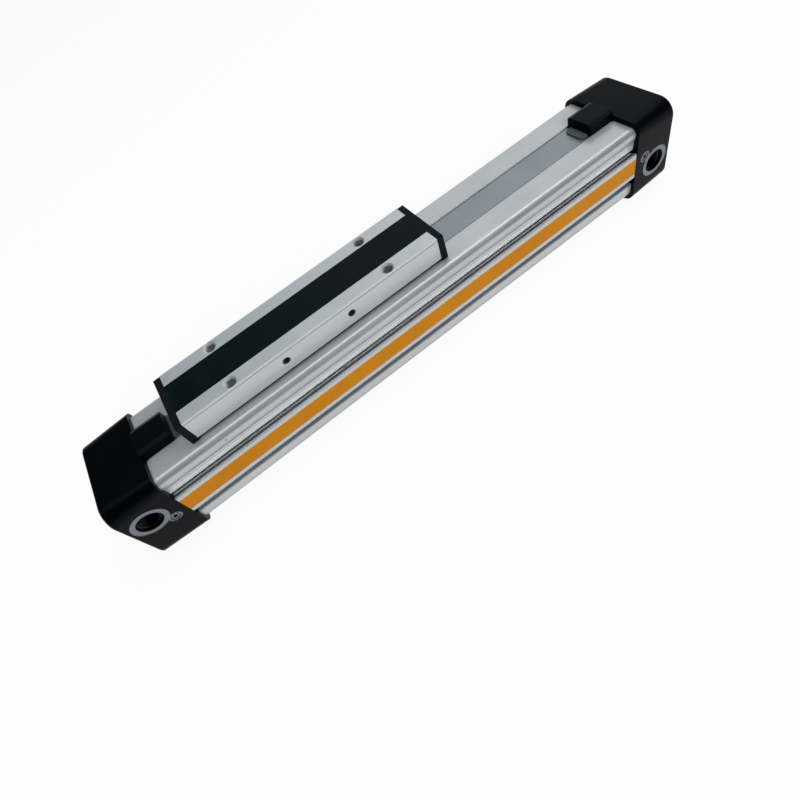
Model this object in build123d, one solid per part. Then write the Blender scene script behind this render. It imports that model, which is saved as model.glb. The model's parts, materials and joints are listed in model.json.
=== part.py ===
"""Rodless pneumatic cylinder with a slotted barrel, sealing bands and a carriage on top.

All sizes are in millimetres. The cylinder lies along X, +Z is up and the port side faces -Y.
The origin is the middle of the underside. The carriage stands at the left end of its stroke.
"""
import os
from math import sqrt

from build123d import *

# Working sizes of the whole cylinder
bore_diameter = 32.0
stroke = 100.0

# End caps
cap_length = 26.2
cap_width = 52.0
cap_corner_radius = 6.5  # beside the barrel
cap_end_corner_radius = 9.5  # at the outer end
cap_edge_chamfer = 0.6
spigot_length = 8.0
spigot_gap = 0.15
air_passage_diameter = 6.8
air_passage_depth = 15.0

# Air ports, one in each cap, on the front face
port_bore_diameter = 11.8
port_mouth_diameter = 13.2
port_mouth_depth = 0.9
port_depth = 14.0
port_from_end = 10.8
port_above_middle = 6.0  # the right cap is the left cap turned over, so its port is this far below
spot_face_diameter = 18.3
spot_face_depth = 0.3

# Cushion needles
needle_diameter = 4.6
needle_length = 13.0
needle_from_end = 19.4
needle_below_middle = 2.2
needle_ring_diameter = 6.8
needle_recess = 0.5
needle_tip_length = 3.0
needle_tip_diameter = 1.6
needle_running_gap = 0.05
needle_socket_size = 2.0
needle_socket_depth = 1.6

# Cushion tubes and their seals
cushion_tube_diameter = 10.0
cushion_tube_bore = 6.4
cushion_tip_gap = 6.5  # from the tube's tip to the piston's screw at the end of the stroke
cushion_pocket_gap = 0.4
cushion_pocket_depth = 19.0
cushion_seal_width = 2.6
cushion_seal_height = 1.4
cushion_seal_gap = 0.08
cushion_seal_inset = 1.6

# Cap screws, four in each cap
screw_from_side = 8.0  # from the cap's side to the screw's middle
screw_diameter = 6.0
screw_head_diameter = 10.0
screw_head_height = 6.0
screw_length = 32.0
screw_socket_size = 5.0
screw_socket_depth = 3.2
screw_edge_chamfer = 0.5
counterbore_diameter = 10.8
counterbore_depth = 6.6
screw_hole_gap = 0.3
thread_gap = 0.05

# Cap seals
cap_seal_width = 2.4
cap_seal_height = 2.0
cap_seal_inset = 2.6
cap_seal_gap = 0.08

# Barrel extrusion
cap_side_overhang = 2.0  # how far the cap stands out past the barrel's side
cap_top_overhang = 3.0
shoulder_radius = 4.0
foot_radius = 4.5
channel_width = 16.8
channel_depth = 0.9
slot_width = 8.0
side_line_height = 15.9  # fine groove along each side, above the bore's middle
side_line_inset = 0.75  # how far the side leans in down to the fine groove
side_line_width = 0.6
side_line_depth = 0.6
side_foot_inset = 1.2  # how far the side has leaned in at the pocket beside the rail
rail_face_inset = 0.3  # from the side of the cap
rail_depth = 4.9
rail_half_height = 9.0
rail_neck_half_height = 7.4
rail_neck_from_floor = 1.1
rail_root_half_height = 8.6
rail_corner_radius = 1.2
pocket_above_middle = 10.2  # above the side rails
pocket_below_middle = 13.0  # below the side rails, and on both sides of the one underneath
centre_mark_diameter = 1.0
centre_mark_depth = 0.6
centre_mark_from_cap = 36.0
centre_mark_height = 19.4  # above the bore's middle

# Accent strip on the front rail
accent_height = 10.2
accent_thickness = 0.4
accent_recess = 0.35

# Sealing bands and the magnetic strips beside the slot
outer_band_width = 15.8
outer_band_thickness = 0.4
inner_band_width = 12.6
inner_band_thickness = 0.4
inner_band_recess_below_bore = 0.6
band_side_gap = 0.3
magnet_strip_width = 2.2
magnet_strip_height = 1.4
magnet_strip_from_middle = 6.1

# Band clamps, one against each cap
clamp_length = 16.2
clamp_side_gap = 0.25
clamp_above_cap = 3.0
clamp_bevel_width = 2.2
clamp_bevel_drop = 1.0
clamp_lip_length = 4.7
clamp_lip_thickness = 0.8
carriage_end_gap = 1.1  # left between a wiper and a clamp at the end of the stroke

# Carriage
carriage_length = 152.0
carriage_top_half_width = 17.4
carriage_side_taper = 0.5
carriage_height = 15.2  # above the shoulders
carriage_running_gap = 1.4
carriage_bevel_width = 0.5
carriage_bevel_drop = 0.25
break_line_drop = 1.1
break_line_width = 0.35
break_line_depth = 0.4
end_plate_thickness = 3.6
plate_running_gap = 0.35
plate_corner_radius = 1.0
cover_strip_width = 18.6
cover_strip_thickness = 2.5
cover_strip_gap = 0.1
trough_width = 16.0
carrier_floor_thickness = 3.8
carrier_opening_gap = 1.0  # from the stem's end to the opening for the band

# Threaded holes of the carriage
top_hole_spacing_x = 90.0
top_hole_spacing_y = 26.9
top_hole_diameter = 5.0
top_hole_depth = 10.0
top_hole_countersink = 6.8
side_hole_spacing = 38.0
side_hole_drop = 6.9  # from the top of the carriage
side_hole_diameter = 4.2
side_hole_depth = 7.0

# End plate screws
plate_screw_spacing = 24.4
plate_screw_drop = 3.1  # from the top of the carriage down to the screw's middle
plate_screw_diameter = 2.5
plate_screw_head_diameter = 4.0
plate_screw_head_height = 1.8
plate_screw_length = 12.0
plate_screw_socket_size = 1.7
plate_screw_socket_depth = 1.0

# Wipers under the end plates
wiper_half_width = 14.6
wiper_height = 3.8
wiper_thickness = 2.9
wiper_lip_height = 1.1
wiper_lip_reach = 0.8
wiper_side_gap = 0.15
wiper_running_gap = 0.3

# Glide strips under the carrier
glide_width = 4.0
glide_from_middle = 11.2
glide_end_gap = 2.0
glide_running_gap = 0.3

# Piston yoke, which ties the pistons to the carrier through the slot
yoke_half_length = 44.0
stem_half_length = 40.0
stem_side_gap = 0.3
yoke_side_gap = 0.8
flange_height = 1.9
flange_side_gap = 0.6
band_tunnel_cover = 5.0  # thickness over the inner band's tunnel
band_tunnel_height = 3.2
band_tunnel_side_gap = 0.5
yoke_top_gap = 0.4

# Yoke screws
yoke_screw_count = 4
yoke_screw_end_inset = 8.0
yoke_screw_diameter = 5.0
yoke_screw_head_diameter = 9.0
yoke_screw_head_height = 2.4
yoke_screw_length = 13.0
yoke_screw_socket_size = 3.0
yoke_screw_socket_depth = 1.4
yoke_screw_head_gap = 0.1

# Pistons
piston_beyond_carriage = 2.0  # from the end of the carriage to the outer face of a piston
piston_wall_gap = 0.3
piston_edge_chamfer = 1.0
piston_screw_diameter = 5.0
piston_screw_head_diameter = 9.0
piston_screw_head_height = 4.0
piston_screw_length = 30.0
piston_screw_socket_size = 4.0
piston_screw_socket_depth = 2.2
trough_outer_wall = 10.0

# Piston seals, wear rings and the sensing magnet
seal_width = 3.6
seal_height = 2.6
seal_inset = 2.6
seal_running_gap = 0.08
wear_ring_width = 8.0
wear_ring_height = 1.2
wear_ring_inset = 12.0
magnet_diameter = 8.0
magnet_length = 20.0
magnet_below_middle = 8.6
magnet_gap = 0.05

# Path of the bands through the carriage
outer_lift_inset = 2.4  # from the end of the carrier
outer_ramp_length = 20.0
outer_lift_clearance = 0.8
inner_dip_inset = 1.0  # from the end of the piston's trough
inner_dip_yoke_gap = 4.0
inner_dip_roof_gap = 0.8
guide_band_gap = 0.4
guide_cover_gap = 0.1
guide_side_gap = 0.3
guide_plate_gap = 0.1

# Places worked out from the sizes
bore_radius = bore_diameter / 2
axis_height = cap_width / 2
profile_half_width = cap_width / 2 - cap_side_overhang
profile_half_height = cap_width / 2 - cap_top_overhang
rail_face_from_middle = cap_width / 2 - rail_face_inset
groove_floor_from_middle = rail_face_from_middle - rail_depth
stop_length = clamp_length + clamp_lip_length + carriage_end_gap + wiper_lip_reach
cap_inner_x = (stroke + carriage_length) / 2 + stop_length
end_x = cap_inner_x + cap_length
front_y = -cap_width / 2
rest_x = -stroke / 2
shoulder_height = axis_height + profile_half_height
channel_floor = shoulder_height - channel_depth
outer_band_top = channel_floor + outer_band_thickness
inner_band_recess_from_middle = bore_radius - inner_band_recess_below_bore
inner_band_top = axis_height + inner_band_recess_from_middle
inner_band_bottom = inner_band_top - inner_band_thickness
ring_flat = inner_band_bottom - yoke_top_gap
carrier_bottom = shoulder_height + carriage_running_gap
carrier_floor_top = carrier_bottom + carrier_floor_thickness
carriage_top_height = shoulder_height + carriage_height
side_hole_height = carriage_top_height - side_hole_drop
cover_bottom = carriage_top_height - cover_strip_thickness
carrier_half_length = carriage_length / 2 - end_plate_thickness
outer_lift_start = carrier_half_length - outer_lift_inset
outer_lift_end = outer_lift_start - outer_ramp_length
lifted_band_bottom = carrier_floor_top + outer_lift_clearance
tunnel_roof = axis_height + bore_radius - band_tunnel_cover
tunnel_floor = tunnel_roof - band_tunnel_height
piston_half_span = carriage_length / 2 + piston_beyond_carriage
piston_screw_head_from_middle = piston_half_span - cushion_pocket_depth + piston_screw_head_height
cushion_tube_tip = stroke / 2 + piston_screw_head_from_middle + cushion_tip_gap
trough_end_from_middle = piston_half_span - trough_outer_wall
inner_dip_start = trough_end_from_middle - inner_dip_inset
inner_dip_end = yoke_half_length + inner_dip_yoke_gap
dipped_band_top = tunnel_roof - inner_dip_roof_gap
tunnel_half_width = inner_band_width / 2 + band_tunnel_side_gap
spigot_radius = bore_radius - spigot_gap
piston_radius = bore_radius - piston_wall_gap
cushion_pocket_radius = cushion_tube_diameter / 2 + cushion_pocket_gap
counterbore_radius = counterbore_diameter / 2
big = 4 * cap_width  # larger than any section, for cutting blocks


def x_cylinder(radius, x_from, x_to, y=0.0, z=axis_height):
    """Round bar along X between two places."""
    middle = (x_from + x_to) / 2
    return Pos(middle, y, z) * Rot(0, 90, 0) * Cylinder(radius, abs(x_to - x_from))


def block(x_from, x_to, y_from, y_to, z_from, z_to):
    """Plain block between six planes."""
    middle = Pos((x_from + x_to) / 2, (y_from + y_to) / 2, (z_from + z_to) / 2)
    return middle * Box(abs(x_to - x_from), abs(y_to - y_from), abs(z_to - z_from))


def x_extrusion(section, x_from, x_to):
    """Solid made by drawing a section in the YZ plane along X."""
    return extrude(Pos(x_from, 0, 0) * (Plane.YZ * section), x_to - x_from, dir=(1, 0, 0))


def outline(points):
    """Flat face inside straight lines between points."""
    return make_face(Polyline(*points, close=True))


def hexagon_x(size, x_from, x_to, y, z):
    """Hexagonal bar along X, size across its flats."""
    section = Pos(y, z) * RegularPolygon(size / 2, 6, major_radius=False)
    return x_extrusion(section, x_from, x_to)


def mirrored(solid, side):
    """The right-hand piece for side 1 and its mirror image for side -1."""
    return solid if side > 0 else mirror(solid, Plane.YZ)


def save(solid, name):
    """Writes one piece to its own file."""
    export_step(solid, f"parts/{name}.step")


def band_flat_cut():
    """Block above the flat on which the inner band passes rings, pistons and spigots."""
    return block(-big, big, -big, big, ring_flat, ring_flat + big)


# Barrel
def dovetail_pocket(above):
    """Recess behind a rail, on the right-hand side of the section."""
    mouth = profile_half_width + 1
    middle = (groove_floor_from_middle + mouth) / 2
    width = mouth - groove_floor_from_middle
    height = above + pocket_below_middle
    return Pos(middle, (above - pocket_below_middle) / 2) * Rectangle(width, height)


def dovetail_rail():
    """Dovetail rail that stands out of its pocket, on the right-hand side of the section."""
    floor = groove_floor_from_middle
    face = rail_face_from_middle
    upper = [(floor - 0.5, rail_root_half_height), (floor, rail_root_half_height)]
    upper += [(floor + rail_neck_from_floor, rail_neck_half_height), (face, rail_half_height)]
    lower = [(y, -z) for y, z in reversed(upper)]
    rail = outline(upper + lower)
    return fillet(rail.vertices().group_by(Axis.X)[-1], rail_corner_radius)


def side_relief():
    """Material taken off the upper right-hand side, which leans in towards its rail."""
    wide = profile_half_width
    top = profile_half_height - shoulder_radius
    knee = (wide - side_line_inset, side_line_height)
    points = [(wide + 1, top), (wide, top), knee]
    points += [(wide - side_foot_inset, pocket_above_middle), (wide + 1, pocket_above_middle)]
    line = Pos(knee[0], knee[1]) * Rectangle(2 * side_line_depth, side_line_width)
    return outline(points) + line


def barrel_section():
    """Section of the extrusion about the bore's middle."""
    section = Rectangle(2 * profile_half_width, 2 * profile_half_height)
    section = fillet(section.vertices().group_by(Axis.Y)[-1], shoulder_radius)
    section = fillet(section.vertices().group_by(Axis.Y)[0], foot_radius)
    section -= side_relief()
    section -= mirror(side_relief(), Plane.YZ)
    side_pocket = dovetail_pocket(pocket_above_middle)
    section -= side_pocket
    section -= mirror(side_pocket, Plane.YZ)
    section -= Rot(0, 0, -90) * dovetail_pocket(pocket_below_middle)
    for turn in (0, 180, -90):
        section += Rot(0, 0, turn) * dovetail_rail()
    channel_top = profile_half_height + 1
    channel_low = profile_half_height - channel_depth
    channel_middle = (channel_top + channel_low) / 2
    section -= Pos(0, channel_middle) * Rectangle(channel_width, channel_top - channel_low)
    section -= Circle(bore_radius)
    section -= Pos(0, channel_low / 2) * Rectangle(slot_width, channel_low)
    recess = Rectangle(inner_band_width + 2 * band_side_gap, inner_band_recess_from_middle)
    section -= Pos(0, inner_band_recess_from_middle / 2) * recess
    for side in (-1, 1):
        strip_groove = Rectangle(magnet_strip_width, 2 * magnet_strip_height)
        section -= Pos(side * magnet_strip_from_middle, channel_low) * strip_groove
    section -= Pos(-rail_face_from_middle, 0) * Rectangle(2 * accent_recess, accent_height)
    return section


def screw_places():
    """The four cap screws about the bore's middle, as places across and up."""
    half = cap_width / 2 - screw_from_side
    return [(-half, half), (half, half), (-half, -half), (half, -half)]


def make_barrel():
    section = barrel_section()
    for y, z in screw_places():
        section -= Pos(y, z) * Circle(screw_diameter / 2 + thread_gap)
    barrel = x_extrusion(Pos(0, axis_height) * section, -cap_inner_x, cap_inner_x)
    mark_x = centre_mark_from_cap - cap_inner_x
    mark_z = axis_height + centre_mark_height
    mark = Rot(90, 0, 0) * Cylinder(centre_mark_diameter / 2, 2 * centre_mark_depth)
    return barrel - Pos(mark_x, -profile_half_width, mark_z) * mark


def make_accent_strip():
    y_inner = -rail_face_from_middle + accent_recess
    half = accent_height / 2
    low, high = axis_height - half, axis_height + half
    return block(-cap_inner_x, cap_inner_x, y_inner - accent_thickness, y_inner, low, high)


def make_magnet_strip(side):
    middle = side * magnet_strip_from_middle
    half = magnet_strip_width / 2
    low = channel_floor - magnet_strip_height
    return block(-cap_inner_x, cap_inner_x, middle - half, middle + half, low, channel_floor)


# End caps
def port_height(side):
    """The left cap has its port above the middle, and the right one, turned over, below."""
    return axis_height - side * port_above_middle


def needle_height(side):
    return axis_height + side * needle_below_middle


def y_hole(radius, x, z, depth_from, depth_to):
    """Round bar along Y, between two depths under the front face."""
    middle = front_y + (depth_from + depth_to) / 2
    return Pos(x, middle, z) * Rot(90, 0, 0) * Cylinder(radius, depth_to - depth_from)


def port_cut(side):
    """Spot face, mouth, threaded bore and the drilling that meets the air passage."""
    x = end_x - port_from_end
    z = port_height(side)
    cut = y_hole(spot_face_diameter / 2, x, z, -1, spot_face_depth)
    cut += y_hole(port_bore_diameter / 2, x, z, -1, port_depth)
    mouth_middle = front_y + spot_face_depth + port_mouth_depth / 2
    mouth = Cone(port_bore_diameter / 2, port_mouth_diameter / 2, port_mouth_depth)
    cut += Pos(x, mouth_middle, z) * Rot(90, 0, 0) * mouth
    cut += y_hole(air_passage_diameter / 2, x, z, port_depth - 1, cap_width / 2)
    return cut


def needle_cut(side):
    x = end_x - needle_from_end
    z = needle_height(side)
    cut = y_hole(needle_ring_diameter / 2, x, z, -1, spot_face_depth)
    radius = needle_diameter / 2 + needle_running_gap
    cut += y_hole(radius, x, z, -1, needle_recess + needle_length + 1)
    return cut


def corner_cut():
    """Material taken off one long corner of a cap, with a radius that grows towards its outer end."""
    sections = []
    for x, radius in ((cap_inner_x, cap_corner_radius), (end_x, cap_end_corner_radius)):
        centre = cap_width / 2 - radius
        middle = centre + (radius + 1) / 2
        face = Pos(middle, middle) * Rectangle(radius + 1, radius + 1)
        face -= Pos(centre, centre) * Circle(radius)
        sections.append(Pos(x, 0, 0) * (Plane.YZ * face))
    return loft(sections, ruled=True)


def cap_blank():
    """Square block with its four rounded corners and a chamfer around the outer end."""
    blank = Pos(end_x - cap_length / 2, 0, 0) * Box(cap_length, cap_width, cap_width)
    for turn in (0, 90, 180, 270):
        blank -= Rot(turn, 0, 0) * corner_cut()
    blank = Pos(0, 0, axis_height) * blank
    return chamfer(blank.faces().sort_by(Axis.X)[-1].edges(), cap_edge_chamfer)


def make_cap(side):
    """One end cap. Both are drawn at the right-hand end, and the left one is then mirrored."""
    blank = cap_blank()
    spigot = x_cylinder(spigot_radius, cap_inner_x - spigot_length, cap_inner_x)
    spigot -= cap_seal_groove()
    spigot -= band_flat_cut()
    cap = blank + spigot
    passage_inner = cap_inner_x - spigot_length - 1
    cap -= x_cylinder(air_passage_diameter / 2, passage_inner, cap_inner_x + air_passage_depth)
    seat = cap_inner_x - spigot_length
    cap -= x_cylinder(cushion_tube_diameter / 2, seat - 1, seat + spigot_length)
    for y, z in screw_places():
        z_screw = axis_height + z
        hole_radius = screw_diameter / 2 + screw_hole_gap
        cap -= x_cylinder(hole_radius, cap_inner_x - 1, end_x + 1, y, z_screw)
        cap -= x_cylinder(counterbore_radius, end_x - counterbore_depth, end_x + 1, y, z_screw)
    cap -= port_cut(side)
    cap -= needle_cut(side)
    return mirrored(cap, side)


def cap_seal_groove():
    seal_outer = cap_inner_x - cap_seal_inset
    ring = x_cylinder(bore_radius + 1, seal_outer - cap_seal_width, seal_outer)
    core = x_cylinder(bore_radius - cap_seal_height, seal_outer - cap_seal_width, seal_outer)
    return ring - core


def make_cap_seal(side):
    """Ring in the spigot's groove, with a flat for the inner band."""
    seal_outer = cap_inner_x - cap_seal_inset
    outer = bore_radius - cap_seal_gap
    ring = x_cylinder(outer, seal_outer - cap_seal_width, seal_outer)
    ring -= x_cylinder(bore_radius - cap_seal_height, seal_outer - cap_seal_width, seal_outer)
    ring -= band_flat_cut()
    return mirrored(ring, side)


def make_cushion_tube(side):
    """Tube on the cap's spigot, which enters the piston at the end of the stroke."""
    root = cap_inner_x
    tip = cushion_tube_tip
    tube = x_cylinder(cushion_tube_diameter / 2, tip, root)
    tip_edges = tube.faces().sort_by(Axis.X)[0].edges()
    tube = chamfer(tip_edges, cushion_pocket_gap)
    tube -= x_cylinder(cushion_tube_bore / 2, tip - 1, root + 1)
    return mirrored(tube, side)


def make_cap_screw(side, y, z):
    """Socket head screw through the cap into the barrel."""
    head_top = end_x - counterbore_depth + screw_head_height
    head_low = head_top - screw_head_height
    z_screw = axis_height + z
    head = x_cylinder(screw_head_diameter / 2, head_low, head_top, y, z_screw)
    head = chamfer(head.faces().sort_by(Axis.X)[-1].edges(), screw_edge_chamfer)
    screw = head + x_cylinder(screw_diameter / 2, head_low - screw_length, head_low, y, z_screw)
    screw -= hexagon_x(screw_socket_size, head_top - screw_socket_depth, head_top + 1, y, z_screw)
    return mirrored(screw, side)


def make_needle(side):
    """Cushion needle: a plain screw with a tapered tip and a hexagonal socket."""
    x = end_x - needle_from_end
    z = needle_height(side)
    stem_end = needle_recess + needle_length - needle_tip_length
    needle = y_hole(needle_diameter / 2, x, z, needle_recess, stem_end)
    tip_middle = front_y + stem_end + needle_tip_length / 2
    tip = Cone(needle_tip_diameter / 2, needle_diameter / 2, needle_tip_length)
    needle += Pos(x, tip_middle, z) * Rot(90, 0, 0) * tip
    socket = RegularPolygon(needle_socket_size / 2, 6, major_radius=False)
    plane = Plane(origin=(x, front_y + needle_recess, z), z_dir=(0, 1, 0))
    needle -= extrude(plane * socket, needle_socket_depth)
    return mirrored(needle, side)


# Bands and their clamps
def ramped_strip(width, thickness, low, high, ramp_start, ramp_end):
    """Strip between the caps whose middle leaves its level to pass the yoke."""
    under = [(-cap_inner_x, low), (rest_x - ramp_start, low), (rest_x - ramp_end, high)]
    under += [(rest_x + ramp_end, high), (rest_x + ramp_start, low), (cap_inner_x, low)]
    over = [(x, z + thickness) for x, z in reversed(under)]
    face = Plane.XZ * outline(under + over)
    return extrude(face, width / 2, both=True)


def make_outer_band():
    width, thickness = outer_band_width, outer_band_thickness
    start, end = outer_lift_start, outer_lift_end
    return ramped_strip(width, thickness, channel_floor, lifted_band_bottom, start, end)


def make_inner_band():
    width, thickness = inner_band_width, inner_band_thickness
    dipped = dipped_band_top - thickness
    start, end = inner_dip_start, inner_dip_end
    return ramped_strip(width, thickness, inner_band_bottom, dipped, start, end)


def make_band_clamp(side):
    """Block that holds the outer band down beside the cap, with a thin lip at its free end."""
    half = channel_width / 2 - clamp_side_gap
    top = cap_width + clamp_above_cap
    free_x = cap_inner_x - clamp_length
    lip_half = half - clamp_bevel_width
    right = [(half, outer_band_top), (half, top - clamp_bevel_drop), (lip_half, top)]
    left = [(-y, z) for y, z in reversed(right)]
    clamp = x_extrusion(outline(right + left), free_x, cap_inner_x)
    lip_x = free_x - clamp_lip_length
    lip_top = outer_band_top + clamp_lip_thickness
    lip = block(lip_x, free_x, -lip_half, lip_half, outer_band_top, lip_top)
    corners = lip.edges().filter_by(Axis.Z).group_by(Axis.X)[0]
    lip = fillet(corners, clamp_lip_length / 2)
    return mirrored(clamp + lip, side)


# Carriage, drawn about its own middle and then moved to the rest place
def at_rest(solid):
    return Pos(rest_x, 0, 0) * solid


def carrier_section():
    """Outer section of the carrier, with bevelled top edges and a fine groove under each."""
    top, low = carriage_top_height, carrier_bottom
    wide = carriage_top_half_width
    line_top = top - break_line_drop
    line_low = line_top - break_line_width
    line_floor = wide - break_line_depth
    right = [(wide - carriage_side_taper, low), (wide, line_low), (line_floor, line_low)]
    right += [(line_floor, line_top), (wide, line_top), (wide, top - carriage_bevel_drop)]
    right += [(wide - carriage_bevel_width, top)]
    left = [(-y, z) for y, z in reversed(right)]
    return outline(right + left)


def make_carrier():
    half = carrier_half_length
    carrier = x_extrusion(carrier_section(), -half, half)
    reach = half + 1
    trough = trough_width / 2
    above = carriage_top_height + 1
    carrier -= block(-reach, reach, -trough, trough, carrier_floor_top, above)
    cover = cover_strip_width / 2
    carrier -= block(-reach, reach, -cover, cover, cover_bottom, above)
    for side in (-1, 1):
        opening = side * (stem_half_length + carrier_opening_gap)
        low = carrier_bottom - 1
        carrier -= block(opening, side * reach, -trough, trough, low, carrier_floor_top + 1)
        carrier -= plate_screw_holes(side)
    carrier -= top_holes()
    carrier -= side_holes()
    for x in yoke_screw_places():
        hole_radius = yoke_screw_diameter / 2 + thread_gap
        carrier -= Pos(x, 0, carrier_floor_top) * Cylinder(hole_radius, 4 * carrier_floor_thickness)
        carrier -= countersink(x)
    return at_rest(carrier)


def countersink(x):
    """Cone that takes a yoke screw's head, open at the trough's floor."""
    low_radius = yoke_screw_diameter / 2 + yoke_screw_head_gap
    top_radius = yoke_screw_head_diameter / 2 + yoke_screw_head_gap
    middle = carrier_floor_top - yoke_screw_head_height / 2
    return Pos(x, 0, middle) * Cone(low_radius, top_radius, yoke_screw_head_height)


def top_holes():
    """Four threaded holes with countersunk mouths."""
    holes = None
    mouth = (top_hole_countersink - top_hole_diameter) / 2
    for x in (-top_hole_spacing_x / 2, top_hole_spacing_x / 2):
        for y in (-top_hole_spacing_y / 2, top_hole_spacing_y / 2):
            middle = carriage_top_height + 1 - (top_hole_depth + 1) / 2
            hole = Pos(x, y, middle) * Cylinder(top_hole_diameter / 2, top_hole_depth + 1)
            cone = Cone(top_hole_diameter / 2, top_hole_countersink / 2, mouth)
            hole += Pos(x, y, carriage_top_height - mouth / 2) * cone
            holes = hole if holes is None else holes + hole
    return holes


def side_holes():
    """Two threaded holes in each side face."""
    holes = None
    for x in (-side_hole_spacing / 2, side_hole_spacing / 2):
        for side in (-1, 1):
            y = side * (carriage_top_half_width + 1 - (side_hole_depth + 1) / 2)
            bar = Rot(90, 0, 0) * Cylinder(side_hole_diameter / 2, side_hole_depth + 1)
            hole = Pos(x, y, side_hole_height) * bar
            holes = hole if holes is None else holes + hole
    return holes


def plate_screw_places():
    half = plate_screw_spacing / 2
    height = carriage_top_height - plate_screw_drop
    return [(-half, height), (half, height)]


def plate_screw_holes(side):
    """Threaded holes for the end plate's screws, in one end of the carrier."""
    holes = None
    face = side * (carrier_half_length + 1)
    bottom = side * (carrier_half_length - plate_screw_length)
    radius = plate_screw_diameter / 2 + thread_gap
    for y, z in plate_screw_places():
        hole = x_cylinder(radius, bottom, face, y, z)
        holes = hole if holes is None else holes + hole
    return holes


def make_cover_strip():
    half = cover_strip_width / 2 - cover_strip_gap
    low = cover_bottom
    length = carrier_half_length
    return at_rest(block(-length, length, -half, half, low, carriage_top_height))


def plate_outline():
    """End plate with its rounded top corners and the opening for the wiper."""
    low = shoulder_height + plate_running_gap
    height = carriage_top_height - low
    plate = Rectangle(2 * carriage_top_half_width, height)
    plate = fillet(plate.vertices().group_by(Axis.Y)[-1], plate_corner_radius)
    plate = Pos(0, low + height / 2) * plate
    opening_half = wiper_half_width + wiper_side_gap
    opening_top = low + wiper_height + wiper_side_gap
    plate -= Pos(0, (low + opening_top) / 2 - 1) * Rectangle(2 * opening_half, opening_top - low + 2)
    return plate


def make_end_plate(side):
    inner = carrier_half_length
    outer = carriage_length / 2
    plate = x_extrusion(plate_outline(), inner, outer)
    for y, z in plate_screw_places():
        radius = plate_screw_diameter / 2 + screw_hole_gap / 2
        plate -= x_cylinder(radius, inner - 1, outer + 1, y, z)
        head_radius = plate_screw_head_diameter / 2 + thread_gap
        plate -= x_cylinder(head_radius, outer - plate_screw_head_height, outer + 1, y, z)
    return at_rest(mirrored(plate, side))


def make_plate_screw(side, y, z):
    outer = carriage_length / 2
    head_low = outer - plate_screw_head_height
    screw = x_cylinder(plate_screw_head_diameter / 2, head_low, outer, y, z)
    screw += x_cylinder(plate_screw_diameter / 2, outer - plate_screw_length, head_low, y, z)
    screw -= hexagon_x(plate_screw_socket_size, outer - plate_screw_socket_depth, outer + 1, y, z)
    return at_rest(mirrored(screw, side))


def make_wiper(side):
    """Grey wiper with a lip in front and a tongue down to the band."""
    inner = carrier_half_length
    low = shoulder_height + wiper_running_gap
    top = shoulder_height + plate_running_gap + wiper_height
    half = wiper_half_width
    wiper = block(inner, inner + wiper_thickness, -half, half, low, top)
    lip_half = half - wiper_lip_height
    lip_outer = carriage_length / 2 + wiper_lip_reach
    lip = block(inner, lip_outer, -lip_half, lip_half, low, low + wiper_lip_height)
    outer_top = lip.edges().filter_by(Axis.Y).group_by(Axis.Z)[-1].sort_by(Axis.X)[-1]
    lip = chamfer(outer_top, wiper_lip_height - wiper_running_gap)
    tongue_half = channel_width / 2 - wiper_running_gap
    tongue_low = outer_band_top + wiper_running_gap
    tongue = block(inner, inner + wiper_thickness, -tongue_half, tongue_half, tongue_low, low + 1)
    return at_rest(mirrored(wiper + lip + tongue, side))


def make_glide(side):
    """Strip under the carrier that slides along one shoulder of the barrel."""
    middle = side * glide_from_middle
    half = glide_width / 2
    length = carrier_half_length - glide_end_gap
    low = shoulder_height + glide_running_gap
    return at_rest(block(-length, length, middle - half, middle + half, low, carrier_bottom))


def make_band_guide(side):
    """Wedge in the carrier's end that turns the outer band down to its channel."""
    half = trough_width / 2 - guide_side_gap
    slope = (lifted_band_bottom - channel_floor) / (outer_lift_start - outer_lift_end)
    gap = guide_band_gap * sqrt(1 + slope * slope)
    outer = carrier_half_length - guide_plate_gap
    low = outer_band_top + guide_band_gap
    level_x = outer_lift_start + guide_band_gap
    raised = low + gap - guide_band_gap + slope * (level_x - outer_lift_end)
    top = cover_bottom - guide_cover_gap
    points = [(outer, low), (level_x, low), (outer_lift_end, raised)]
    points += [(outer_lift_end, top), (outer, top)]
    narrow = channel_width / 2 - 2 * guide_side_gap
    face = Plane.XZ * outline(points)
    guide = extrude(face, min(half, narrow), both=True)
    return at_rest(mirrored(guide, side))


# Piston yoke and pistons
def make_yoke():
    """Bar in the bore with a band tunnel, a stem through the slot and a flange under the carrier."""
    body = x_cylinder(bore_radius - yoke_side_gap, -yoke_half_length, yoke_half_length)
    body -= band_flat_cut()
    body -= block(-big, big, -tunnel_half_width, tunnel_half_width, tunnel_floor, tunnel_roof)
    stem_half = slot_width / 2 - stem_side_gap
    reach = stem_half_length
    stem = block(-reach, reach, -stem_half, stem_half, tunnel_roof, carrier_bottom)
    flange_half = channel_width / 2 - flange_side_gap
    flange_low = carrier_bottom - flange_height
    flange = block(-reach, reach, -flange_half, flange_half, flange_low, carrier_bottom)
    yoke = body + stem + flange
    for x in yoke_screw_places():
        bottom = carrier_floor_top - yoke_screw_length - 1
        hole_length = carrier_bottom - bottom + 1
        hole = Cylinder(yoke_screw_diameter / 2 + thread_gap, hole_length)
        yoke -= Pos(x, 0, bottom + hole_length / 2) * hole
    screw_radius = piston_screw_diameter / 2 + thread_gap
    screw_tip = piston_half_span - cushion_pocket_depth - piston_screw_length
    for side in (-1, 1):
        yoke -= x_cylinder(screw_radius, side * (screw_tip - 1), side * (yoke_half_length + 1))
    magnet_radius = magnet_diameter / 2 + magnet_gap
    magnet_inner = magnet_length - yoke_half_length
    magnet_z = axis_height - magnet_below_middle
    yoke -= x_cylinder(magnet_radius, -yoke_half_length - 1, magnet_inner, 0, magnet_z)
    return at_rest(yoke)


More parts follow.
